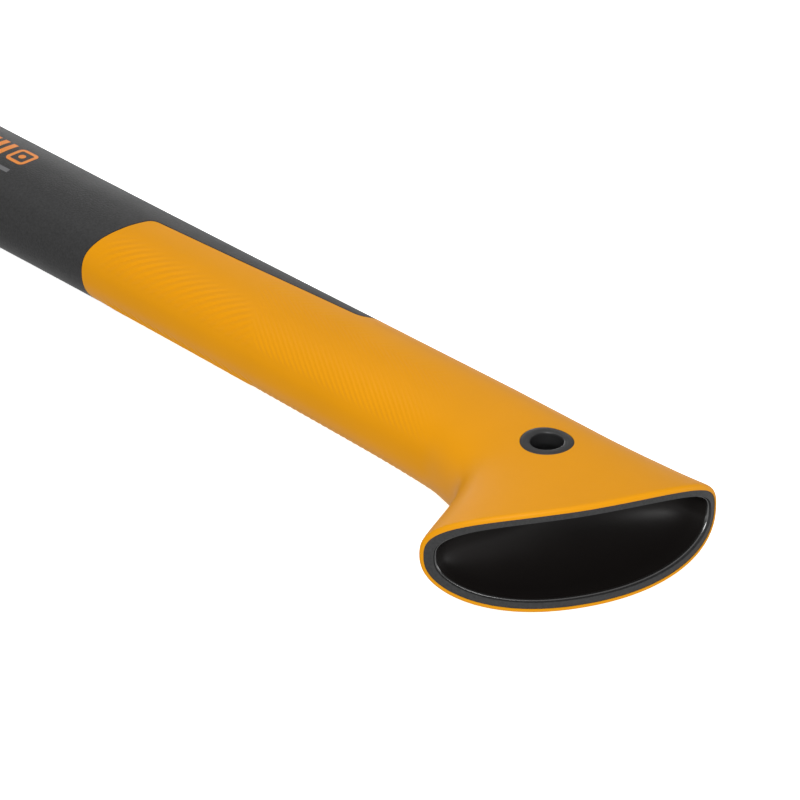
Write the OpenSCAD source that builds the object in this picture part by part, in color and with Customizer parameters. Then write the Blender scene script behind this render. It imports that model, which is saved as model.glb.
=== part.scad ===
// Fire axe: forged single-bit head with a flat poll, set in the moulded collar of a hollow
// glass-filled nylon handle with a soft over-moulded grip, an open flared butt and a lanyard bush.
// Millimetres. The axe lies on its side: +X runs along the handle from the butt to the head,
// +Y points to the cutting edge, +Z is up. The origin is the centre of the bounding box, at its base.

/* [Handle] */
// Overall length from the butt to the toe of the blade.
overall_length = 444; // [430:1:470]
// Half thickness of the butt and of the collar cheeks, which the axe lies on.
lie_half = 17; // [15.5:0.5:19]
// Wall of the hollow handle under the grip.
core_wall = 3.0; // [2.6:0.1:4.5]
// Where the hollow inside the handle ends, from the butt.
hollow_end = 330; // [250:5:345]

/* [Butt] */
// How far the hook of the butt reaches forward of the handle axis.
hook_reach = 53; // [46:0.5:58]
// Wall of the core at the rim of the butt, inside the grip skin.
rim_wall = 1.7; // [1.5:0.1:3]
// Wall of the liner cup at the rim.
liner_wall = 0.8; // [0.6:0.1:1.4]
// Depth of the liner cup, as a part of the flare.
liner_depth = 0.50; // [0.36:0.01:0.54]

/* [Grip] */
// Thickness of the soft grip skin, set flush in the core.
grip_skin = 1.5; // [1:0.1:2]
// Where the grip ends on the front of the handle, from the butt.
grip_end = 225; // [190:1:260]
// Where the bare strip along the back of the handle starts, from the butt.
strip_start = 127; // [90:1:160]

/* [Lanyard bush] */
// Outer radius of the bush.
bush_r = 7.6; // [6.5:0.1:9]
// Radius of the lanyard bore.
bore_r = 4.7; // [3:0.1:5.5]
// Half length of the straight wall of the bore.
bore_half = 14.2; // [13:0.1:14.5]
// Wall of the moulded boss that carries the bush across the hollow.
boss_wall = 1.4; // [1:0.1:2.4]

/* [Head] */
// Length of the cutting edge, heel to toe, on the straight.
edge_length = 73; // [66:1:80]
// Distance of the poll face behind the handle axis.
poll_back = 62; // [50:1:70]
// Half thickness of the poll.
poll_half = 14.5; // [12:0.5:16]

/* [Marks] */
// Depth of the inlaid marks.
mark_depth = 0.4; // [0.2:0.1:0.8]

/* [Hidden] */
$fn = 64;
NT = 48;                                   // points around a section
NC = 24;                                   // steps along a cross curve
dx = overall_length - 444;
origin_shift = [-overall_length/2, -(98 - poll_back)/2, lie_half];
total_inset = grip_skin + core_wall;       // hollow, measured in from the outer surface
rim_inset = grip_skin + rim_wall;          // the same at the butt
hook_pad = 0.9;                            // extra wall round the nose of the hook
grip_split = 66;                           // where the skin of the flare meets that of the handle
orange = [0.90, 0.60, 0.08];
black = [0.20, 0.20, 0.205];
steel = [0.30, 0.31, 0.32];

// ---------- curves ----------
function bez(a, b, c, d, t) = a*pow(1 - t, 3) + 3*b*t*pow(1 - t, 2) + 3*c*t*t*(1 - t) + d*pow(t, 3);
function spow(v, e) = sign(v)*pow(max(abs(v), 1e-9), e);

// Smooth curve through a table of [x, value], with no overshoot.
function cell(T, x, i = 0) = (i >= len(T) - 2 || x < T[i + 1][0]) ? i : cell(T, x, i + 1);
function secant(T, i) = (T[i + 1][1] - T[i][1])/(T[i + 1][0] - T[i][0]);
function tangent(T, i) =
    i == 0 ? secant(T, 0) : i == len(T) - 1 ? secant(T, len(T) - 2) :
    let (a = secant(T, i - 1), b = secant(T, i), h0 = T[i][0] - T[i - 1][0], h1 = T[i + 1][0] - T[i][0])
    a*b <= 0 ? 0 : 3*(h0 + h1)/((2*h1 + h0)/a + (h1 + 2*h0)/b);
function smooth(T, x) =
    let (i = cell(T, x), h = T[i + 1][0] - T[i][0], t = min(1, max(-0.2, (x - T[i][0])/h)),
         a = T[i][1], b = T[i + 1][1], m = tangent(T, i)*h, n = tangent(T, i + 1)*h)
    a*(2*t*t*t - 3*t*t + 1) + m*(t*t*t - 2*t*t + t) + b*(3*t*t - 2*t*t*t) + n*(t*t*t - t*t);

// A section: a superellipse whose wide axis follows the cross curve a-b-c-d in the XY plane.
// pad thickens the wall at end a, and f shrinks the section towards its middle.
function section(a, b, c, d, H, n, inset, pad = 0, f = 1) =
    let (C = [for (i = [0:NC]) bez(a, b, c, d, i/NC)],
         D = [for (i = [0:NC]) i == 0 ? 0 : norm(C[i] - C[i - 1])],
         L = [for (i = 0, s = 0; i <= NC; i = i + 1, s = s + (i <= NC ? D[i] : 0)) s],
         A = L[NC]/2,
         TX = [for (i = [0:NC]) [L[i], C[i][0]]],
         TY = [for (i = [0:NC]) [L[i], C[i][1]]])
    [for (k = [0:NT - 1])
        let (th = 360*k/NT, w = A*spow(cos(th), 2/n), z = H*spow(sin(th), 2/n),
             nx = spow(w/A, n - 1)/A, nz = spow(z/H, n - 1)/H, q = norm([nx, nz]),
             g = inset + pad*pow(max(0, cos(th)), 4), la = A - f*(w - g*nx/q))
        [lookup(la, TX), lookup(la, TY), f*(z - g*nz/q)]];

// ---------- handle shape, measured from the butt; y = 0 is the handle axis ----------
back_line = [[1.5, -23], [13.8, -21.6], [46, -19.5], [100, -19.4], [207, -19.1], [314 + dx, -19.5],
             [345 + dx, -20.3], [362 + dx, -22.6], [376 + dx, -26.2], [388 + dx, -28], [424 + dx, -28], [433 + dx, -27.4]];
front_line = [[59, 24], [74.6, 20.2], [101, 18.9], [208, 17.8], [314 + dx, 18.9],
              [345 + dx, 19.9], [362 + dx, 21.8], [376 + dx, 24.6], [388 + dx, 26], [424 + dx, 26], [433 + dx, 25.4]];
half_line = [[0, lie_half], [53.5, 15.3], [107, 14.45], [267, 13.85], [340 + dx, 13.95],
             [362 + dx, 15.6], [376 + dx, 17.6], [390 + dx, 18.6], [424 + dx, 18.6], [433 + dx, 18.2]];
power_line = [[0, 2.4], [340 + dx, 2.4], [364 + dx, 2.6], [388 + dx, 3.3], [433 + dx, 3.3]];
tip = [43, hook_reach];
heel = [1.5, -23];
rim_b = [12, 41 + (hook_reach - 53)*0.7];
rim_c = [-5.2, -2.5];
neck = [59, 24];

// s runs from 0 at the rim to 1 at the neck of the flare; past 1 it runs on along the handle.
function handle_section(s, inset, pad = 0, f = 1) =
    s <= 1
    ? let (F = bez(tip, tip + [4.6, -10], neck - [8.4, -0.4], neck, s),
           xb = heel[0] + (neck[0] - heel[0])*s, B = [xb, smooth(back_line, xb)], w = 1 - s,
           b = F*2/3 + B/3 + (rim_b - (tip*2/3 + heel/3))*w,
           c = F/3 + B*2/3 + (rim_c - (tip/3 + heel*2/3))*w,
           H = lie_half + (smooth(half_line, neck[0]) - lie_half)*s*(1.4 - 0.4*s))
      section(F, b, c, B, H, 2.4, inset, pad, f)
    : let (x = s, F = [x, smooth(front_line, x)], B = [x, smooth(back_line, x)])
      section(F, F*2/3 + B/3, F/3 + B*2/3, B, smooth(half_line, x), smooth(power_line, x), inset);

// Closed skin through rings. Points k and NT-k of a ring stand above each other, so the end
// caps are strips between them.
module skin(rings) {
    n = len(rings);
    polyhedron(
        points = [for (r = rings) for (p = r) p],
        faces = concat(
            [for (i = [0:n - 2]) for (k = [0:NT - 1]) let (j = (k + 1) % NT)
                each [[i*NT + k, (i + 1)*NT + j, i*NT + j], [i*NT + k, (i + 1)*NT + k, (i + 1)*NT + j]]],
            [for (k = [0:NT/2 - 1]) each cap(0, k, false)],
            [for (k = [0:NT/2 - 1]) each cap((n - 1)*NT, k, true)]),
        convexity = 6);
}
function cap(o, k, flip) =
    let (a = o + k, b = o + k + 1, c = o + (NT - k - 1) % NT, d = o + (NT - k) % NT,
         T = concat(b == c ? [] : [[a, b, c]], a == d ? [] : [[a, c, d]]))
    [for (t = T) flip ? [t[0], t[2], t[1]] : t];

flare = [0.03, 0.09, 0.16, 0.24, 0.33, 0.42, 0.51, 0.60, 0.69, 0.78, 0.86, 0.93, 0.98];
shaft = [59.8, 66, 74, 84, 96, 112, 140, 170, 208];
upper = [240, 280, 314 + dx, 330 + dx, 342 + dx, 351 + dx, 359 + dx, 367 + dx, 374 + dx, 381 + dx, 388 + dx, 406 + dx, 424 + dx];

// The cheeks of the collar are flat, so the axe lies level on them and on the butt.
function level(ring) = [for (p = ring) [p[0], p[1], max(-lie_half, min(lie_half, p[2]))]];
module full_skin() {
    skin([for (r = concat([for (s = concat([0.006], flare, shaft, upper)) handle_section(s, 0)],
                [handle_section(428.5 + dx, 0.5), handle_section(431.2 + dx, 1.8), handle_section(432.6 + dx, 3.6), handle_section(433 + dx, 5.4)])) level(r)]);
}
module grip_outer() {
    skin(concat([handle_section(0, 0.8), handle_section(0.006, 0.42), handle_section(0.016, 0.12), handle_section(0.032, 0)],
                [for (s = concat([for (v = flare) if (v > 0.04) v], shaft, [240])) handle_section(s, 0)]));
}
module grip_inner() {
    skin([for (s = concat([-0.03], flare, shaft, [240])) handle_section(s, grip_skin)]);
}
module hollow() {
    skin(concat([for (s = [-0.03, 0.008, 0.05, 0.12, 0.22, 0.34, 0.46]) handle_section(s, rim_inset, hook_pad)],
                [for (s = concat([0.60, 0.72, 0.84, 0.93, 0.99], [66, 80, 100, 160, hollow_end])) handle_section(s, total_inset)]));
}
// Straight at the rim, then a dome that closes at s = depth.
module cup(from, inset, depth) {
    skin(concat([for (s = [from, 0.05, 0.12]) handle_section(s, inset, hook_pad)],
                [for (t = [14, 28, 42, 55, 67, 77, 84]) handle_section(0.12 + (depth - 0.12)*sin(t), inset, hook_pad, cos(t))]));
}

// Outline of the grip seen from the side; it is cut straight through both faces.
module grip_region() {
    offset(r = 4.5) offset(delta = -4.5) offset(r = -6) offset(delta = 6)
        polygon([[-40, 90], [grip_end, 90], [grip_end - 0.8, 18.6], [grip_end - 1.8, 16.4], [grip_end - 3.3, 13.7],
                 [grip_end - 5.2, 9.7], [grip_end - 6.5, 6.4], [grip_end - 7.5, 3], [grip_end - 9.9, -4.3],
                 [strip_start + 47, -6.4], [strip_start + 1, -9.5], [strip_start - 1, -60], [-40, -60]]);
}
module grip_prism() {
    translate([0, 0, -40]) linear_extrude(80) grip_region();
}

// ---------- head shape ----------
hx = 407 + dx;                                       // middle of the head along the handle
heel_x = overall_length - edge_length;               // heel of the cutting edge
toe_x = overall_length;                              // toe of the cutting edge
// y, low x, high x, forward bulge, half thickness, power, inset
head_table = [
    [-poll_back, hx - 16, hx + 16, 0, poll_half, 7, 2.2],
    [-poll_back + 0.7, hx - 16, hx + 16, 0, poll_half, 7, 0.8],
    [-poll_back + 2.2, hx - 16, hx + 16, 0, poll_half, 7, 0],
    [-40, hx - 16, hx + 16, 0, poll_half, 7, 0],
    [-35, hx - 16.6, hx + 16.6, 0, poll_half - 0.8, 6.5, 0],
    [-31, hx - 17.6, hx + 17.6, 0, poll_half - 2.2, 6, 0],
    [-27, hx - 18.6, hx + 18.6, 0, 11.2, 6, 0],
    [-14, hx - 19, hx + 19, 0, 9.8, 6, 0],
    [0, hx - 19, hx + 19, 0, 9.3, 6, 0],
    [14, hx - 19, hx + 19, 0, 9.8, 6, 0],
    [25, hx - 19.4, hx + 19.4, 0, 10.6, 6, 0],
    [33, hx - 20.4, hx + 20.2, 0, 10.1, 6, 0],
    [42, hx - 22.4, hx + 22, 0, 8.9, 6, 0],
    [53, hx - 25.6, hx + 25, 0.3, 7.3, 6, 0],
    [64, heel_x + 6.6, hx + 29, 1, 5.7, 6.5, 0],
    [75, heel_x + 2.8, hx + 33, 2.4, 4.2, 7, 0],
    [84, heel_x + 0.6, toe_x - 1.4, 5, 3.0, 8, 0],
    [86, heel_x + 0.3, toe_x - 0.9, 5.8, 2.7, 8, 0],
    [92, heel_x, toe_x, 8, 0.25, 8, 0]];
function head_section(r) =
    section([r[1], r[0]], [r[1] + (r[2] - r[1])/3, r[0] + r[3]], [r[2] - (r[2] - r[1])/3, r[0] + r[3]], [r[2], r[0]], r[4], r[5], r[6]);
module head_body() {
    skin([for (r = head_table) head_section(r)]);
}

// ---------- marks: plain shapes with no lettering ----------
module chamfered(w, c) {
    polygon([[c, 0], [w - c, 0], [w, c], [w, w - c], [w - c, w], [c, w], [0, w - c], [0, c]]);
}
module orange_mark_shape() {
    difference() {
        translate([270.6, -6.4]) chamfered(8.4, 1.4);
        translate([272.1, -4.9]) chamfered(5.4, 0.7);
    }
    translate([273.6, -3.4]) chamfered(2.4, 0.7);
    for (i = [0:2]) translate([281.4 + 4*i, -6.4]) square([2.2, 8.4]);
}
module grey_mark_shape() {
    translate([271.4, 5.6]) square([12.6, 1.6]);
}
// Everything above the floor of the mark pockets, open upwards.
module above_pockets() {
    difference() {
        translate([262, -20, 2]) cube([40, 40, 26]);
        skin([for (s = [236, 280, 318 + dx]) handle_section(s, mark_depth)]);
    }
}
module mark_body() {
    intersection() {
        above_pockets();
        skin([for (s = [240, 280, 314 + dx]) handle_section(s, 0)]);
        linear_extrude(30) children();
    }
}

// ---------- sub-parts ----------
module place() {
    translate(origin_shift) children();
}
module lanyard_hole(r) {
    translate([41.5, 4, -30]) cylinder(h = 60, r = r);
}
module core_mesh() {
    resize([0, 0, 0])
        difference() {
            full_skin();
            difference() {
                grip_prism();
                grip_inner();
            }
            difference() {
                hollow();
                lanyard_hole(bush_r + boss_wall);
            }
            head_body();
            lanyard_hole(bush_r + 0.06);
            intersection() {
                above_pockets();
                linear_extrude(30) {
                    orange_mark_shape();
                    grey_mark_shape();
                }
            }
        }
}

// Hollow nylon handle with the collar round the head's waist.
module handle_core() color(black) place()
    core_mesh();

// The soft skin between two distances from the butt.
module skin_mesh(from, to) {
    resize([0, 0, 0])
        intersection() {
            grip_prism();
            translate([from, -60, -40]) cube([to - from, 160, 80]);
            difference() {
                grip_outer();
                grip_inner();
            }
        }
}

// Soft skin over the lower handle. It is one moulding with the skin of the flare, and meets it
// face to face at grip_split.
module soft_grip() color(orange) place()
    skin_mesh(grip_split, grip_end + 20);

// Soft skin over the flare, with a hole for the bush.
module grip_flare() color(orange) place()
    difference() {
        skin_mesh(-40, grip_split);
        lanyard_hole(bush_r);
    }

// Glossy cup that closes the hollow behind the open butt.
module butt_liner() color([0.09, 0.085, 0.085]) place()
    resize([0, 0, 0])
        difference() {
            cup(0.008, rim_inset, liner_depth);
            cup(-0.03, rim_inset + liner_wall, liner_depth - 0.035);
        }

// Hard tube through the flare for a lanyard, cut to the slope of both faces.
module lanyard_bush() color([0.16, 0.16, 0.165]) place()
    translate([41.5, 4, 0])
        difference() {
            cylinder(h = 34, r = bush_r, center = true);
            cylinder(h = 40, r = bore_r, center = true);
            for (m = [0, 1]) mirror([0, 0, m]) {
                translate([0, 0, 15.32]) rotate([0, 1.8, 0]) translate([-20, -20, 0]) cube([40, 40, 10]);
                translate([0, 0, bore_half]) cylinder(h = 3, r1 = bore_r, r2 = bore_r + 3);
            }
        }

// Drop-forged head: flat poll, waist inside the collar, tapered blade with a ground edge.
module axe_head() color(steel) place()
    head_body();

// Orange size mark inlaid in the upper face.
module size_mark() color([0.93, 0.50, 0.12]) place()
    resize([0, 0, 0]) mark_body() orange_mark_shape();

// Grey bar inlaid beside it.
module line_mark() color([0.45, 0.45, 0.46]) place()
    resize([0, 0, 0]) mark_body() grey_mark_shape();

axe_head();
handle_core();
soft_grip();
grip_flare();
butt_liner();
lanyard_bush();
size_mark();
line_mark();
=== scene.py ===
import bpy
import math
import numpy as np
from mathutils import Matrix, Vector


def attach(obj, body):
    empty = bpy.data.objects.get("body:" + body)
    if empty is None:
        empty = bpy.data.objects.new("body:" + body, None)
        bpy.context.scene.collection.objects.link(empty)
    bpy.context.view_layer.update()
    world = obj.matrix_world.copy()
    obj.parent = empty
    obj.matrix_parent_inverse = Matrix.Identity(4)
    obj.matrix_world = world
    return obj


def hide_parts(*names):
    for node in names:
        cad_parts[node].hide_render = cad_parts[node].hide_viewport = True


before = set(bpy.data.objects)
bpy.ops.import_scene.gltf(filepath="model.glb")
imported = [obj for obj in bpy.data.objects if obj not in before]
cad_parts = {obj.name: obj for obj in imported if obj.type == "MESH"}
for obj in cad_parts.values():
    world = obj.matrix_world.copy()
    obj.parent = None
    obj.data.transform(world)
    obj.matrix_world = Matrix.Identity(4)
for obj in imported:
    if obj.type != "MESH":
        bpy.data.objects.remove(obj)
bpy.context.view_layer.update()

# ------------------------------------------------------------------ numbers (mm, from the butt)
LIE = 17.0                                   # half thickness of butt and collar
SKIN, RIM_WALL, LINER, PAD = 1.5, 1.7, 0.8, 0.9
TOTAL = 4.5                                  # hollow under the grip, from the outer surface
RIM = SKIN + RIM_WALL                        # the same at the butt
SHIFT = np.array([-222.0, -18.0, 17.0])
TIP, HEEL, RIM_B, RIM_C, NECK = map(np.array, ([43.0, 53.0], [1.5, -23.0], [12.0, 41.0], [-5.2, -2.5], [59.0, 24.0]))
BACK = [[1.5, -23], [13.8, -21.6], [46, -19.5], [100, -19.4], [207, -19.1], [314, -19.5], [345, -20.3], [362, -22.6], [376, -26.2], [388, -28], [424, -28], [433, -27.4]]
FRONT = [[59, 24.0], [74.6, 20.2], [101, 18.9], [208, 17.8], [314, 18.9], [345, 19.9], [362, 21.8], [376, 24.6], [388, 26], [424, 26], [433, 25.4]]
HALF = [[0, LIE], [53.5, 15.3], [107, 14.45], [267, 13.85], [340, 13.95], [362, 15.6], [376, 17.6], [390, 18.6], [424, 18.6], [433, 18.2]]
POWER = [[0, 2.4], [340, 2.4], [364, 2.6], [388, 3.3], [433, 3.3]]
GRIP_END, STRIP = 225.0, 127.0
BUSH, BORE = 7.6, 4.7
RING = np.array([41.5, 4.0])


# ------------------------------------------------------------------ curves
def smooth(table, x):
    T = np.array(table, float)
    X, Y = T[:, 0], T[:, 1]
    h = np.diff(X)
    d = np.diff(Y) / h
    m = np.zeros(len(X))
    m[0], m[-1] = d[0], d[-1]
    for i in range(1, len(X) - 1):
        a, b, h0, h1 = d[i - 1], d[i], h[i - 1], h[i]
        m[i] = 0 if a * b <= 0 else 3 * (h0 + h1) / ((2 * h1 + h0) / a + (h1 + 2 * h0) / b)
    x = np.asarray(x, float)
    i = np.clip(np.searchsorted(X, x, side="right") - 1, 0, len(X) - 2)
    t = np.clip((x - X[i]) / h[i], -0.2, 1.0)
    return (Y[i] * (2 * t**3 - 3 * t**2 + 1) + m[i] * h[i] * (t**3 - 2 * t**2 + t)
            + Y[i + 1] * (3 * t**2 - 2 * t**3) + m[i + 1] * h[i] * (t**3 - t**2))


def bez(a, b, c, d, t):
    t = np.asarray(t, float)[..., None]
    return a * (1 - t)**3 + 3 * b * t * (1 - t)**2 + 3 * c * t * t * (1 - t) + d * t**3


def spow(v, e):
    return np.sign(v) * np.maximum(np.abs(v), 1e-9)**e


def section(a, b, c, d, H, n, inset, th, pad=0.0, f=1.0):
    # pad thickens the wall at end a, f shrinks the section towards its middle
    C = bez(a, b, c, d, np.linspace(0, 1, 61))
    L = np.concatenate([[0], np.cumsum(np.hypot(*np.diff(C, axis=0).T))])
    A = L[-1] / 2
    w = A * spow(np.cos(th), 2 / n)
    z = H * spow(np.sin(th), 2 / n)
    nx, nz = spow(w / A, n - 1) / A, spow(z / H, n - 1) / H
    q = np.hypot(nx, nz)
    g = inset + pad * np.maximum(0, np.cos(th))**4
    la = A - f * (w - g * nx / q)
    # past either end the points are held at the ends of the cross curve
    x = np.interp(la, L, C[:, 0])
    y = np.interp(la, L, C[:, 1])
    return np.stack([x, y, f * (z - g * nz / q)], 1)


def soft_level(z, r=0.5):
    # the collar cheeks are flat at +-LIE, with a soft shoulder
    a = np.abs(z)
    k = np.clip((a - (LIE - r)) / (2 * r), 0, 1)
    out = np.where(a < LIE - r, a, np.where(a > LIE + r, LIE, LIE - r + 2 * r * (k - 0.5 * k * k)))
    return np.sign(z) * np.minimum(out, LIE)


def ring(s, inset, th, pad=0.0, f=1.0):
    """One closed ring of the handle surface: s in 0..1 from rim to neck, then s is the distance from the butt."""
    if s <= 1:
        F = bez(TIP, TIP + np.array([4.6, -10.0]), NECK - np.array([8.4, -0.4]), NECK, np.array(s))
        xb = HEEL[0] + (NECK[0] - HEEL[0]) * s
        B = np.array([xb, float(smooth(BACK, xb))])
        w = 1 - s
        b = F * 2 / 3 + B / 3 + (RIM_B - (TIP * 2 / 3 + HEEL / 3)) * w
        c = F / 3 + B * 2 / 3 + (RIM_C - (TIP / 3 + HEEL * 2 / 3)) * w
        H = LIE + (float(smooth(HALF, NECK[0])) - LIE) * s * (1.4 - 0.4 * s)
        return section(F, b, c, B, H, 2.4, inset, th, pad, f)
    F = np.array([s, float(smooth(FRONT, s))])
    B = np.array([s, float(smooth(BACK, s))])
    p = section(F, F * 2 / 3 + B / 3, F / 3 + B * 2 / 3, B, float(smooth(HALF, s)), float(smooth(POWER, s)), inset, th)
    if s > 360:
        p[:, 2] = soft_level(p[:, 2])
    return p


def theta(n):
    # evenly spaced, and mirror-symmetric above and below
    return 2 * np.pi * np.arange(n) / n


# ------------------------------------------------------------------ mesh helpers
def make(name, verts, faces, mats, smooth_angle=30.0, index=None):
    V = (np.asarray(verts, float) + SHIFT) / 1000.0
    me = bpy.data.meshes.new(name)
    me.from_pydata(V.tolist(), [], [tuple(int(i) for i in f) for f in faces])
    for m in mats:
        me.materials.append(m)
    if index is not None:
        me.polygons.foreach_set("material_index", np.asarray(index, np.int32))
    me.polygons.foreach_set("use_smooth", np.ones(len(me.polygons), bool))
    if smooth_angle:
        me.set_sharp_from_angle(angle=math.radians(smooth_angle))
    me.update()
    o = bpy.data.objects.new(name, me)
    bpy.context.scene.collection.objects.link(o)
    return o


def skin_faces(n_rings, n):
    """Faces of a closed skin; points k and n-k of a ring stand above each other, so the caps are strips."""
    i, k = np.meshgrid(np.arange(n_rings - 1), np.arange(n), indexing="ij")
    j = (k + 1) % n
    F = np.stack([i * n + k, i * n + j, (i + 1) * n + j, (i + 1) * n + k], -1).reshape(-1, 4).tolist()
    for o, flip in ((0, False), ((n_rings - 1) * n, True)):
        for k in range(n // 2):
            q = [o + k, o + (n - k) % n, o + (n - k - 1) % n, o + k + 1]
            q = [v for m, v in enumerate(q) if v not in q[:m]]
            if not flip:
                F.append(q)
            else:
                F.append(q[::-1])
    return F


def skin(name, rings, mats, smooth_angle=30.0):
    R = np.array(rings)
    return make(name, R.reshape(-1, 3), skin_faces(len(R), R.shape[1]), mats, smooth_angle)


def apply_modifiers(o):
    dg = bpy.context.evaluated_depsgraph_get()
    me = bpy.data.meshes.new_from_object(o.evaluated_get(dg), preserve_all_data_layers=False, depsgraph=dg)
    old = o.data
    o.modifiers.clear()
    o.data = me
    bpy.data.meshes.remove(old)


def boolean(o, tool, op="DIFFERENCE"):
    m = o.modifiers.new("cut", "BOOLEAN")
    m.operation = op
    m.object = tool
    m.solver = "MANIFOLD"
    apply_modifiers(o)


def drop(o):
    bpy.data.objects.remove(o, do_unlink=True)


def shade(o, angle):
    me = o.data
    me.polygons.foreach_set("use_smooth", np.ones(len(me.polygons), bool))
    me.set_sharp_from_angle(angle=math.radians(angle))
    me.update()


def prism(name, pts, z0, z1):
    n = len(pts)
    V = [(x, y, z0) for x, y in pts] + [(x, y, z1) for x, y in pts]
    area = sum(pts[i][0] * pts[(i + 1) % n][1] - pts[(i + 1) % n][0] * pts[i][1] for i in range(n))
    if area < 0:
        V = V[:n][::-1] + V[n:][::-1]
    F = [tuple(range(n))[::-1], tuple(range(n, 2 * n))] + [(i, (i + 1) % n, n + (i + 1) % n, n + i) for i in range(n)]
    return make(name, V, F, [], 0)


def lathe(name, profile, centre, mats, seg=128, angle=30.0, warp=None):
    """Closed ring from a closed profile of (radius, z)."""
    m = len(profile)
    V, F = [], []
    for k in range(seg):
        a = 2 * math.pi * k / seg
        for r, z in profile:
            x, y = centre[0] + r * math.cos(a), centre[1] + r * math.sin(a)
            V.append((x, y, z if warp is None else warp(x, y, z)))
    for k in range(seg):
        for i in range(m):
            a, b = k * m + i, k * m + (i + 1) % m
            c, d = ((k + 1) % seg) * m + (i + 1) % m, ((k + 1) % seg) * m + i
            F.append((a, b, c, d))
    return make(name, V, F, mats, angle)


def fillet(pts, radii, steps=8):
    """Rounds the corners of a closed outline."""
    out = []
    n = len(pts)
    for i in range(n):
        p0, p1, p2 = (np.array(pts[(i + k) % n], float) for k in (-1, 0, 1))
        r = radii[i]
        if r <= 0:
            out.append(tuple(p1))
            continue
        u, v = (p0 - p1), (p2 - p1)
        lu, lv = np.linalg.norm(u), np.linalg.norm(v)
        u, v = u / lu, v / lv
        ang = math.acos(max(-1, min(1, float(u @ v))))
        t = min(r / math.tan(ang / 2), 0.48 * lu, 0.48 * lv)
        a, b = p1 + u * t, p1 + v * t
        for s in np.linspace(0, 1, steps + 1):
            out.append(tuple(a * (1 - s)**2 + p1 * 2 * s * (1 - s) + b * s * s))
    return out


# ------------------------------------------------------------------ materials
def nodes_of(name):
    m = bpy.data.materials.new(name)
    m.use_nodes = True
    nt = m.node_tree
    return m, nt, nt.nodes["Principled BSDF"]


def plastic(name, colour, rough, grain=0.0, scale=2500.0, mottle=0.0, rough_var=0.0, ior=1.5, coat=0.0, coat_rough=0.1, spec=0.5, sheen=0.0, mottle_scale=45.0):
    m, nt, b = nodes_of(name)
    N, L = nt.nodes, nt.links
    b.inputs["IOR"].default_value = ior
    b.inputs["Specular IOR Level"].default_value = spec
    b.inputs["Roughness"].default_value = rough
    b.inputs["Coat Weight"].default_value = coat
    b.inputs["Coat Roughness"].default_value = coat_rough
    b.inputs["Sheen Weight"].default_value = sheen
    b.inputs["Sheen Roughness"].default_value = 0.5
    b.inputs["Base Color"].default_value = (*colour, 1)
    tc = N.new("ShaderNodeTexCoord")
    if mottle > 0:
        n1 = N.new("ShaderNodeTexNoise")
        n1.inputs["Scale"].default_value = mottle_scale
        n1.inputs["Detail"].default_value = 4.0
        L.new(tc.outputs["Object"], n1.inputs["Vector"])
        mix = N.new("ShaderNodeMix")
        mix.data_type = "RGBA"
        mix.inputs["A"].default_value = (*[c * (1 - mottle) for c in colour], 1)
        mix.inputs["B"].default_value = (*[min(1, c * (1 + mottle)) for c in colour], 1)
        L.new(n1.outputs["Fac"], mix.inputs["Factor"])
        L.new(mix.outputs["Result"], b.inputs["Base Color"])
    if rough_var > 0:
        n2 = N.new("ShaderNodeTexNoise")
        n2.inputs["Scale"].default_value = 120.0
        n2.inputs["Detail"].default_value = 3.0
        L.new(tc.outputs["Object"], n2.inputs["Vector"])
        mr = N.new("ShaderNodeMapRange")
        mr.inputs["To Min"].default_value = rough - rough_var
        mr.inputs["To Max"].default_value = rough + rough_var
        L.new(n2.outputs["Fac"], mr.inputs["Value"])
        L.new(mr.outputs["Result"], b.inputs["Roughness"])
    if grain > 0:
        n3 = N.new("ShaderNodeTexNoise")
        n3.inputs["Scale"].default_value = scale
        n3.inputs["Detail"].default_value = 2.0
        L.new(tc.outputs["Object"], n3.inputs["Vector"])
        bp = N.new("ShaderNodeBump")
        bp.inputs["Strength"].default_value = grain
        bp.inputs["Distance"].default_value = 0.0001
        L.new(n3.outputs["Fac"], bp.inputs["Height"])
        L.new(bp.outputs["Normal"], b.inputs["Normal"])
    return m


ORANGE = plastic("orange_skin", (0.80, 0.322, 0.0006), 0.46, grain=0.20, scale=1500, mottle=0.035, rough_var=0.05, spec=0.17)
BLACK = plastic("black_nylon", (0.030, 0.030, 0.0305), 0.52, grain=0.9, scale=1500, mottle=0.60, rough_var=0.05, spec=0.42, mottle_scale=1300.0)
GLOSS = plastic("gloss_liner", (0.008, 0.0065, 0.006), 0.42, grain=0.04, scale=900, rough_var=0.04, spec=0.24)
GLOSS_LIP = plastic("gloss_liner_lip", (0.012, 0.011, 0.011), 0.20, grain=0.02, scale=400, rough_var=0.03, ior=2.2)
BUSHM = plastic("bush_black", (0.022, 0.022, 0.023), 0.38, grain=0.15, scale=2500, rough_var=0.05)
INK_O = plastic("ink_orange", (0.83, 0.26, 0.03), 0.5, grain=0.2, scale=2600)
INK_G = plastic("ink_grey", (0.15, 0.15, 0.155), 0.5, grain=0.2, scale=2600)


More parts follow.
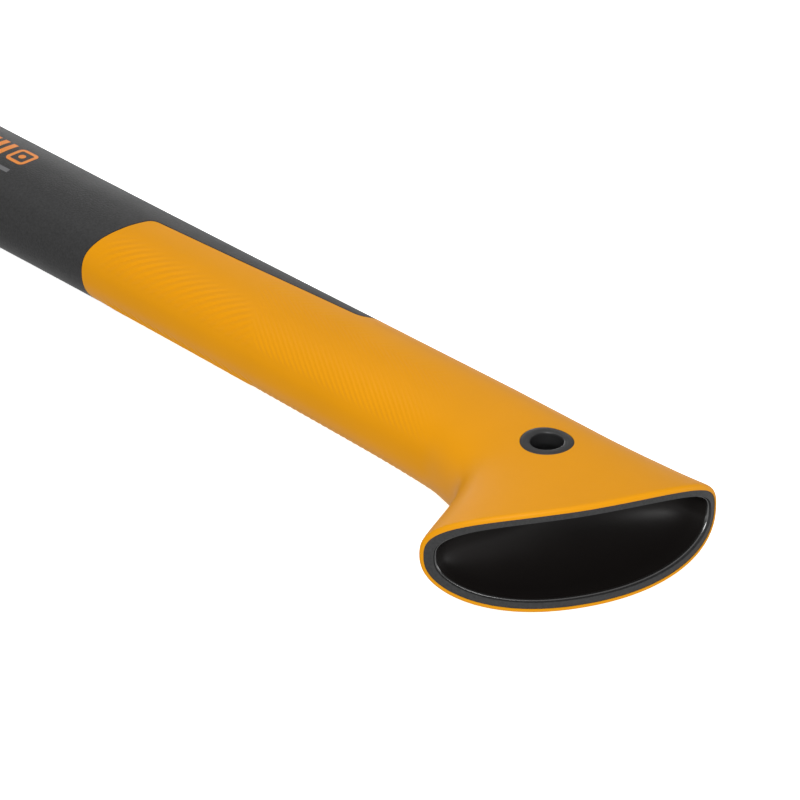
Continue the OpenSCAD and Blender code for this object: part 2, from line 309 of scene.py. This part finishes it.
def steel_mats():
    m, nt, b = nodes_of("coated_steel")
    N, L = nt.nodes, nt.links
    b.inputs["Metallic"].default_value = 0.55
    b.inputs["Base Color"].default_value = (0.055, 0.055, 0.058, 1)
    b.inputs["Roughness"].default_value = 0.42
    tc = N.new("ShaderNodeTexCoord")
    n = N.new("ShaderNodeTexNoise")
    n.inputs["Scale"].default_value = 160.0
    n.inputs["Detail"].default_value = 6.0
    L.new(tc.outputs["Object"], n.inputs["Vector"])
    mr = N.new("ShaderNodeMapRange")
    mr.inputs["To Min"].default_value = 0.36
    mr.inputs["To Max"].default_value = 0.52
    L.new(n.outputs["Fac"], mr.inputs["Value"])
    L.new(mr.outputs["Result"], b.inputs["Roughness"])
    n3 = N.new("ShaderNodeTexNoise")
    n3.inputs["Scale"].default_value = 900.0
    n3.inputs["Detail"].default_value = 3.0
    L.new(tc.outputs["Object"], n3.inputs["Vector"])
    bp = N.new("ShaderNodeBump")
    bp.inputs["Strength"].default_value = 0.35
    bp.inputs["Distance"].default_value = 0.0002
    L.new(n3.outputs["Fac"], bp.inputs["Height"])
    L.new(bp.outputs["Normal"], b.inputs["Normal"])

    g, nt, b = nodes_of("ground_steel")
    N, L = nt.nodes, nt.links
    b.inputs["Metallic"].default_value = 1.0
    b.inputs["Base Color"].default_value = (0.60, 0.60, 0.61, 1)
    b.inputs["Roughness"].default_value = 0.28
    tc = N.new("ShaderNodeTexCoord")
    mp = N.new("ShaderNodeMapping")
    mp.inputs["Scale"].default_value = (2600.0, 40.0, 40.0)
    L.new(tc.outputs["Object"], mp.inputs["Vector"])
    n = N.new("ShaderNodeTexNoise")
    n.inputs["Scale"].default_value = 1.0
    n.inputs["Detail"].default_value = 3.0
    L.new(mp.outputs["Vector"], n.inputs["Vector"])
    mr = N.new("ShaderNodeMapRange")
    mr.inputs["To Min"].default_value = 0.20
    mr.inputs["To Max"].default_value = 0.42
    L.new(n.outputs["Fac"], mr.inputs["Value"])
    L.new(mr.outputs["Result"], b.inputs["Roughness"])
    bp = N.new("ShaderNodeBump")
    bp.inputs["Strength"].default_value = 0.25
    bp.inputs["Distance"].default_value = 0.00005
    L.new(n.outputs["Fac"], bp.inputs["Height"])
    L.new(bp.outputs["Normal"], b.inputs["Normal"])
    return m, g


COATED, GROUND = steel_mats()


# ------------------------------------------------------------------ grip outline (side view)
def grip_outline(grow):
    e = GRIP_END + grow
    st = STRIP + grow
    g = grow
    pts = [(-40, 90), (e, 90), (e - 0.8, 18.6), (e - 1.8, 16.4), (e - 3.3, 13.7), (e - 5.2, 9.7), (e - 6.5, 6.4), (e - 7.5, 3.0),
           (e - 9.9, -4.3 - g), (st + 47, -6.4 - g), (st + 1, -9.5 - g), (st - 1, -60), (-40, -60)]
    radii = [0, 0, 4, 3, 4, 4, 4, 4, 4.0, 8, 5, 0, 0]
    return fillet(pts, radii)


# ------------------------------------------------------------------ moulded ridges of the grip
def bump01(t):
    t = np.clip(t, 0, 1)
    return t * t * (3 - 2 * t)


def relief(x, f):
    """Height of the moulded ridges, in mm; f is the distance round the surface from the front edge line."""
    def comb(t, lean):
        # a leaning wave: slow rise, quick fall, like shingles
        a = 2 * np.pi * t
        return np.sin(a + lean * np.sin(a))

    edge = bump01((f - 4.6) / 3.2)
    split = 142 + 0.8 * f
    # feathered ridges near the head end, running back and towards the butt
    z1 = bump01((x - split + 1.5) / 5) * bump01((220 - x) / 9) * edge * bump01((21 - f) / 9)
    p1 = comb((x + 1.02 * f + 0.008 * f * f) / 3.8, 0.75)
    # finer slanting ridges lower down, leaning the other way
    z2 = bump01((split + 1.5 - x) / 5) * bump01((x - 66) / 26) * edge * bump01((34 - f) / 9)
    p2 = comb((x - 0.95 * f - 0.0225 * f * f) / 2.6, 0.5)
    # a shallow valley between the ridges and the front edge
    v = np.exp(-((f - 4.4) / 1.7) ** 2) * bump01((x - 80) / 40) * bump01((222 - x) / 8)
    return z1 * p1 * 0.21 + z2 * p2 * 0.10 - 0.11 * v


# ------------------------------------------------------------------ handle core
th = theta(184)
flare_s = np.concatenate([np.linspace(0.004, 0.05, 8), np.linspace(0.06, 1.0, 62)])
shaft_x = np.concatenate([np.arange(59.7, 340, 2.2), np.arange(340, 428, 1.1)])
rings = [ring(s, 0.0, th) for s in flare_s] + [ring(x, 0.0, th) for x in shaft_x]
for x, i in ((428.3, 0.45), (429.3, 0.8), (430.2, 1.25), (431.0, 1.8), (431.7, 2.45), (432.3, 3.2), (432.7, 4.0), (432.92, 4.8), (433.0, 5.6)):
    rings.append(ring(x, i, th))
core = skin("core", rings, [BLACK])

ith = theta(120)
inner_s = [-0.03] + list(np.linspace(0.0, 1.0, 30))
inner = skin("inner_tool", [ring(s, SKIN, ith) for s in inner_s] + [ring(x, SKIN, ith) for x in np.arange(60, 246, 6.0)], [])
band = prism("band_tool", grip_outline(0.26), -40, 40)
boolean(band, inner)
boolean(core, band)
hollow = skin("hollow_tool", [ring(s, RIM + 0.3, th, PAD) for s in [-0.03] + list(np.linspace(0.01, 0.46, 20))] + [ring(s, TOTAL, th) for s in np.linspace(0.6, 0.99, 9)]
              + [ring(x, TOTAL, th) for x in (66, 80, 100, 160, 330)], [])
boolean(core, hollow)


# ------------------------------------------------------------------ head
HX, HEEL_X, TOE_X = 407.0, 371.0, 444.0
PB, PH = 62.0, 14.5
HEAD = np.array([
    [-40, HX - 16, HX + 16, 0, PH, 7, 0],
    [-35, HX - 16.6, HX + 16.6, 0, PH - 0.8, 6.5, 0],
    [-31, HX - 17.6, HX + 17.6, 0, PH - 2.2, 6, 0],
    [-27, HX - 18.6, HX + 18.6, 0, 11.2, 6, 0],
    [-14, HX - 19, HX + 19, 0, 9.8, 6, 0],
    [0, HX - 19, HX + 19, 0, 9.3, 6, 0],
    [14, HX - 19, HX + 19, 0, 9.8, 6, 0],
    [25, HX - 19.4, HX + 19.4, 0, 10.6, 6, 0],
    [33, HX - 20.4, HX + 20.2, 0, 10.1, 6, 0],
    [42, HX - 22.4, HX + 22, 0, 8.9, 6, 0],
    [53, HX - 25.6, HX + 25, 0.3, 7.3, 6, 0],
    [64, HEEL_X + 6.6, HX + 29, 1, 5.7, 6.5, 0],
    [75, HEEL_X + 2.8, HX + 33, 2.4, 4.2, 7, 0],
    [84, HEEL_X + 0.6, TOE_X - 1.4, 5, 3.0, 8, 0],
    [86, HEEL_X + 0.3, TOE_X - 0.9, 5.8, 2.7, 8, 0]], float)


def head_ring(r, th, grow=0.0):
    y, x0, x1, bulge, H, n, inset = r
    return section(np.array([x0, y]), np.array([x0 + (x1 - x0) / 3, y + bulge]), np.array([x1 - (x1 - x0) / 3, y + bulge]),
                   np.array([x1, y]), H, n, inset - grow, th)


def head_row(y):
    return np.array([y] + [float(smooth([[a, b] for a, b in zip(HEAD[:, 0], HEAD[:, k])], y)) for k in range(1, 7)])


hth = theta(112)
base = [-PB, HX - 16, HX + 16, 0, PH, 7]
head_rows = [[-PB + 0.0] + base[1:] + [2.6], [-PB + 0.06] + base[1:] + [2.0], [-PB + 0.35] + base[1:] + [1.2], [-PB + 0.9] + base[1:] + [0.6], [-PB + 1.6] + base[1:] + [0.2], [-PB + 2.6] + base[1:] + [0.0]]
head_rows += [[y] + base[1:] + [0.0] for y in (-58, -54, -50, -46, -43)]
head_rows += [head_row(y) for y in np.arange(-40, 86.01, 1.4)] + [head_row(86.0)]
bevel_at = len(head_rows) - 1
for t in np.linspace(0.08, 1.0, 14):
    y = 86 + 6 * t
    head_rows.append([y, HEEL_X + 0.3 * (1 - t), TOE_X - 0.9 * (1 - t), 5.8 + 2.2 * t, 2.7 + (0.22 - 2.7) * (t**0.92), 8, 0])
hr = [head_ring(np.array(r, float), hth) for r in head_rows]
HV = np.array(hr)
hf = skin_faces(len(hr), len(hth))
hi = [0] * len(hf)
nq = (len(hr) - 1) * len(hth)
for f in range(nq):
    row = f // len(hth)
    if row >= bevel_at:
        hi[f] = 1
    elif row == 0:
        hi[f] = 1
for f in range(nq, len(hf)):
    hi[f] = 1
head = make("head", HV.reshape(-1, 3), hf, [COATED, GROUND], 28, hi)
me = head.data
ring_ids = set(range(bevel_at * len(hth), (bevel_at + 1) * len(hth)))
sharp = np.zeros(len(me.edges), bool)
me.edges.foreach_get("use_edge_sharp", sharp)
ev = np.zeros(len(me.edges) * 2, np.int32)
me.edges.foreach_get("vertices", ev)
ev = ev.reshape(-1, 2)
on = (ev // len(hth) == bevel_at).all(1)
sharp[on] = True
me.edges.foreach_set("use_edge_sharp", sharp)
me.update()

# the eye in the collar, a hair wider than the head's waist
eye = skin("eye_tool", [head_ring(np.array(head_row(y)), hth, 0.12) for y in np.arange(-38, 40.1, 1.5)], [])
boolean(core, eye)
drop(eye)

# ------------------------------------------------------------------ soft grip


def grip_theta(half=104):
    # points packed closer over the ridged part of both faces
    t = np.linspace(0, np.pi, 4001)
    p = ring(150.0, 0.0, t)
    f = np.concatenate([[0], np.cumsum(np.linalg.norm(np.diff(p, axis=0), axis=1))])
    w = np.where((f > 4) & (f < 27), 2.2, 1.0)
    c = np.concatenate([[0], np.cumsum(np.diff(f) * w[1:])])
    g = np.interp(np.linspace(0, c[-1], half + 1), c, t)
    return np.concatenate([g, 2 * np.pi - g[1:-1][::-1]])


gth = grip_theta()


def grip_ring(s, inset=0.0, ridges=False):
    p = ring(s, inset, gth)
    if ridges and s > 1:
        q = ring(s, inset - 1.0, gth)
        n = len(gth)
        d = np.linalg.norm(np.diff(p[:n // 2 + 1], axis=0), axis=1)
        f = np.concatenate([[0], np.cumsum(d)])
        f = np.concatenate([f, f[1:-1][::-1]])
        p = p + (q - p) * relief(p[:, 0], f)[:, None]
    return p


# the rim of the grip turns in softly to the open butt
lip = [(0.0, 0.98), (0.0008, 0.86), (0.0025, 0.70), (0.005, 0.54), (0.008, 0.40), (0.012, 0.27), (0.017, 0.165), (0.023, 0.085), (0.030, 0.034), (0.038, 0.008), (0.047, 0.0)]
outer = [grip_ring(0.7 * s, i) for s, i in lip]
outer += [grip_ring(s) for s in np.linspace(0.06, 1.0, 60)]
outer += [grip_ring(x, 0.0, True) for x in np.concatenate([np.arange(59.8, 68, 0.8), np.arange(68, 221, 0.45), np.arange(221.5, 232, 1.5)])]
# ease the flare into the handle, most of all at the neck
lo, mid, hi = 32, 71, 92
R = np.array(outer[lo:hi])
n = np.arange(lo, hi)
ease = np.where(n < mid, (n - lo) / (mid - lo), (hi - 1 - n) / (hi - 1 - mid))
ease = (0.5 * (ease * ease * (3 - 2 * ease)))[1:-1, None, None]
for _ in range(110):
    R[1:-1] += ease * ((R[:-2] + R[2:]) / 2 - R[1:-1])
outer[lo:hi] = list(R)
grip = skin("grip", outer, [ORANGE], 40)
inner2 = skin("inner_tool2", [ring(s, SKIN, ith) for s in inner_s] + [ring(x, SKIN, ith) for x in np.arange(60, 246, 6.0)], [])
boolean(grip, inner2)
region = prism("grip_tool", grip_outline(-0.10), -40, 40)
boolean(grip, region, "INTERSECT")
for t in (inner, inner2, band, region, hollow):
    drop(t)

# ------------------------------------------------------------------ lanyard hole and bush
S = np.linspace(0.30, 1.0, 60)
P = np.concatenate([ring(s, 0.0, th)[2:len(th) // 2 - 1] for s in S] + [ring(x, 0.0, th)[2:len(th) // 2 - 1] for x in np.arange(60, 66, 1.0)])
near = P[np.hypot(P[:, 0] - RING[0], P[:, 1] - RING[1]) < 13]
u, v = near[:, 0] - RING[0], near[:, 1] - RING[1]
basis = lambda u, v: np.stack([np.ones_like(u), u, v, u * u, u * v, v * v, u**3, u * u * v, u * v * v, v**3], -1)
coef = np.linalg.lstsq(basis(u, v), near[:, 2], rcond=None)[0]


def face_height(x, y):
    return float(basis(np.array(x - RING[0]), np.array(y - RING[1])) @ coef)


def bush_warp(x, y, z):
    # profile z is given against the face: positive depths below the upper face, 100+ is the mirror
    if z < 50:
        return face_height(x, y) - z
    if z > 150:
        return -(face_height(x, y) - (200 - z))
    return z - 100


hole = prism("hole_tool", [(RING[0] + (BUSH + 0.03) * math.cos(2 * math.pi * k / 144), RING[1] + (BUSH + 0.03) * math.sin(2 * math.pi * k / 144)) for k in range(144)], -25, 25)
boolean(core, hole)
boolean(grip, hole)
drop(hole)
top = [(BUSH - 0.02, 1.6), (BUSH - 0.03, 0.20), (BUSH - 0.10, 0.06), (BUSH - 0.24, 0.0), (6.2, -0.02), (5.22, 0.0), (5.06, 0.03), (4.92, 0.10),
       (4.80, 0.22), (4.73, 0.40), (4.70, 0.65), (4.70, 1.6)]
prof = top + [(4.70, 88.5), (4.70, 100.0), (4.70, 111.5)] + [(r, 200 - d) for r, d in top[::-1]]
bush = lathe("bush", prof[::-1], RING, [BUSHM], 144, 32, bush_warp)

# ------------------------------------------------------------------ liner cup
lth = theta(144)
DEPTH = 0.50
OUT, IN = RIM + 0.33, RIM + LINER


def dome(inset, depth, angles):
    return [ring(0.12 + (depth - 0.12) * math.sin(a), inset, lth, PAD, math.cos(a)) for a in np.radians(angles)]


# from the closed end of the outside, out to the lip, over it and down the inside to the closed end
seq = dome(OUT, DEPTH, (86, 80, 72, 63, 53, 43, 33, 22, 11))
seq += [ring(s, OUT, lth, PAD) for s in (0.12, 0.09, 0.06, 0.045, 0.034, 0.027)]
lip_from = len(seq)
for s, i in ((0.0215, 0.34), (0.0182, 0.37), (0.0160, 0.42), (0.0150, 0.48), (0.0152, 0.55), (0.0165, 0.62), (0.0185, 0.68), (0.0212, 0.73), (0.0250, 0.77), (0.030, 0.80)):
    seq.append(ring(s, RIM + i, lth, PAD))
lip_to = len(seq)
seq += [ring(s, IN, lth, PAD) for s in (0.04, 0.05, 0.062, 0.08, 0.10, 0.12)]
seq += dome(IN, DEPTH - 0.035, (4, 8, 12, 17, 22, 27, 32, 37, 42, 47, 52, 57, 62, 67, 72, 77, 82, 86))
R = np.array(seq)
faces = skin_faces(len(R), len(lth))
index = [1 if lip_from <= f // len(lth) < lip_to - 1 else 0 for f in range((len(R) - 1) * len(lth))]
index += [0] * (len(faces) - len(index))
liner = make("liner", R.reshape(-1, 3), [f[::-1] for f in faces], [GLOSS, GLOSS_LIP], 40, index)


# ------------------------------------------------------------------ marks
def patch(name, polys, mat, lift=0.05, deep=0.3):
    """Thin raised plates that follow the upper face; each poly is a convex outline given as a row-by-row pair of edges."""
    V, F = [], []
    for rows in polys:
        n0 = len(V)
        m = len(rows[0])
        for lv in (-lift, deep):
            for row in rows:
                for (x, y) in row:
                    yf, yb = float(smooth(FRONT, x)), float(smooth(BACK, x))
                    A, H, n = (yf - yb) / 2, float(smooth(HALF, x)), 2.4
                    w = y - (yf + yb) / 2
                    z = H * (1 - abs(w / A)**n)**(1 / n)
                    nx, nz = spow(w / A, n - 1) / A, (z / H)**(n - 1) / H
                    q = math.hypot(nx, nz)
                    V.append((x, y - lv * nx / q, z - lv * nz / q))
        nr = len(rows)
        k = nr * m
        for i in range(nr - 1):
            for j in range(m - 1):
                a, b, c, d = n0 + i * m + j, n0 + i * m + j + 1, n0 + (i + 1) * m + j + 1, n0 + (i + 1) * m + j
                F.append((a, b, c, d))
                F.append((d + k, c + k, b + k, a + k))
        edge = [(i * m) for i in range(nr)]
        loop = [j for j in range(m)] + [i * m + m - 1 for i in range(1, nr)] + [(nr - 1) * m + j for j in range(m - 2, -1, -1)] + [i * m for i in range(nr - 2, 0, -1)]
        for a, b in zip(loop, loop[1:] + loop[:1]):
            F.append((n0 + b, n0 + a, n0 + a + k, n0 + b + k))
    return make(name, V, F, [mat], 40)


def bar(x0, x1, y0, y1, nx=4, ny=10):
    return [[(x, y) for x in np.linspace(x0, x1, nx)] for y in np.linspace(y0, y1, ny)]


def loop_band(cx, cy, half, r_out, width, seg=10):
    """A rounded-square band as a closed strip, inner and outer edge pairs."""
    rows = []
    for q in range(4):
        for t in range(seg + 1):
            a = math.radians(90 * q + 90 * t / seg)
            sx, sy = (1, 1) if q == 0 else (-1, 1) if q == 1 else (-1, -1) if q == 2 else (1, -1)
            c = (cx + sx * (half - r_out), cy + sy * (half - r_out))
            rows.append([(c[0] + rr * math.cos(a), c[1] + rr * math.sin(a)) for rr in (r_out - width, r_out - width / 2, r_out)])
    rows.append(rows[0])
    return rows


disc = [[(274.8 + 1.25 * t * math.cos(a), -2.2 + 1.25 * t * math.sin(a)) for t in (0.02, 0.5, 1.0)] for a in np.linspace(0, 2 * math.pi, 25)]
size_mark = patch("size_mark_plate", [loop_band(274.8, -2.2, 4.2, 2.0, 1.35), disc, bar(281.4, 283.6, -6.4, 2.0), bar(285.4, 287.6, -6.4, 2.0), bar(289.4, 291.6, -6.4, 2.0)], INK_O)
line_mark = patch("line_mark_plate", [bar(271.4, 284.0, 5.6, 7.2, 14, 4)], INK_G)

for o, a in ((core, 32), (grip, 40)):
    shade(o, a)

for piece, node, slot in ((core, "handle_core", "black_nylon"), (grip, "soft_grip grip_flare", "orange_rubber"), (liner, "butt_liner", "gloss_black"),
                          (bush, "lanyard_bush", "bush_plastic"), (head, "axe_head", "forged_steel"),
                          (size_mark, "size_mark", "orange_ink"), (line_mark, "line_mark", "grey_ink")):
    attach(piece, "root")
    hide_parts(*node.split())
    print("PIECE", piece.name, len(piece.data.polygons), "faces")

# ------------------------------------------------------------------ floor
fm = bpy.data.meshes.new("floor")
fm.from_pydata([(-6, -6, 0), (6, -6, 0), (6, 6, 0), (-6, 6, 0)], [], [(0, 1, 2, 3)])
floor = bpy.data.objects.new("floor", fm)
bpy.context.scene.collection.objects.link(floor)
fmat, nt, b = nodes_of("floor_white")
b.inputs["Base Color"].default_value = (0.93, 0.93, 0.93, 1)
b.inputs["Roughness"].default_value = 0.9
b.inputs["Specular IOR Level"].default_value = 0.1
b.inputs["Emission Color"].default_value = (1, 1, 1, 1)
b.inputs["Emission Strength"].default_value = 0.80
fm.materials.append(fmat)
floor.visible_diffuse = False
floor.visible_glossy = False

# ------------------------------------------------------------------ light
world = bpy.data.worlds.new("world")
bpy.context.scene.world = world
world.use_nodes = True
nt = world.node_tree
bg = nt.nodes["Background"]
bg.inputs["Color"].default_value = (1, 1, 1, 1)
# brighter from below (the pale floor) than from the level of the room
tc = nt.nodes.new("ShaderNodeTexCoord")
sx = nt.nodes.new("ShaderNodeSeparateXYZ")
nt.links.new(tc.outputs["Generated"], sx.inputs["Vector"])
cr = nt.nodes.new("ShaderNodeValToRGB")
mr = nt.nodes.new("ShaderNodeMapRange")
mr.inputs["From Min"].default_value = -1.0
mr.inputs["From Max"].default_value = 1.0
nt.links.new(sx.outputs["Z"], mr.inputs["Value"])
nt.links.new(mr.outputs["Result"], cr.inputs["Fac"])
ramp = cr.color_ramp
for i, (pos, v) in enumerate(((0.0, 0.62), (0.40, 0.88), (0.52, 0.60), (0.64, 0.30), (0.80, 0.33), (1.0, 0.70))):
    e = ramp.elements[i] if i < 2 else ramp.elements.new(pos)
    e.position = pos
    e.color = (v, v, v, 1)
# one dim side of the room, low at the front
dot = nt.nodes.new("ShaderNodeVectorMath")
dot.operation = "DOT_PRODUCT"
dot.inputs[1].default_value = Vector((0.60, 0.70, -0.39)).normalized()
nt.links.new(tc.outputs["Generated"], dot.inputs[0])
lobe = nt.nodes.new("ShaderNodeMapRange")
lobe.inputs["From Min"].default_value = 0.88
lobe.inputs["From Max"].default_value = 0.97
lobe.inputs["To Min"].default_value = 1.0
lobe.inputs["To Max"].default_value = 0.08
nt.links.new(dot.outputs["Value"], lobe.inputs["Value"])
nt.links.new(cr.outputs["Color"], bg.inputs["Color"])
nt.links.new(lobe.outputs["Result"], bg.inputs["Strength"])


def area(name, loc, look, size, power, size_y=None):
    d = bpy.data.lights.new(name, "AREA")
    d.energy = power
    d.size = size
    if size_y:
        d.shape = "RECTANGLE"
        d.size_y = size_y
    o = bpy.data.objects.new(name, d)
    o.location = loc
    o.rotation_mode = "QUATERNION"
    o.rotation_quaternion = (Vector(look) - Vector(loc)).to_track_quat("-Z", "Y")
    bpy.context.scene.collection.objects.link(o)
    return o


# ------------------------------------------------------------------ camera
CAM = (np.array([-563.056, 659.924, 582.791]) + SHIFT) / 1000.0
RIGHT = Vector((-0.704351, -0.709850, -0.001686))
UP = Vector((0.373701, -0.372823, 0.849323))
BACKV = -Vector((0.603521, -0.597592, -0.527870))
cd = bpy.data.cameras.new("cam")
cd.sensor_width = 36.0
cd.lens = 3809.198 / 800 * 36
cd.clip_start, cd.clip_end = 0.05, 50
cam = bpy.data.objects.new("cam", cd)
M = Matrix.Identity(4)
for i in range(3):
    M[i][0], M[i][1], M[i][2], M[i][3] = RIGHT[i], UP[i], BACKV[i], float(CAM[i])
bpy.context.scene.collection.objects.link(cam)
cam.matrix_world = M
bpy.context.scene.camera = cam

bpy.context.scene.view_settings.view_transform = "Standard"
C0 = Vector((-0.12, -0.02, 0.0))
rgt = Vector((-0.7043, -0.7098, 0)).normalized()      # image right, on the floor
awy = Vector((0.7106, -0.7036, 0)).normalized()       # away from the camera, on the floor
key = Vector((-0.54, 0.64, 0.545)).normalized()
area("key", C0 + key * 1.7, C0, 0.9, 17.2)
area("top", C0 + Vector((0.30, -0.05, 1.25)), C0 + Vector((0.1, 0, 0)), 0.9, 3.2)
area("back", C0 + awy * 1.5 - rgt * 0.4 + Vector((0, 0, 0.16)), C0, 0.9, 2.7, 0.24)
area("right", C0 + Vector((-0.72, -0.68, 0.16)).normalized() * 1.4, C0, 0.7, 2.6)
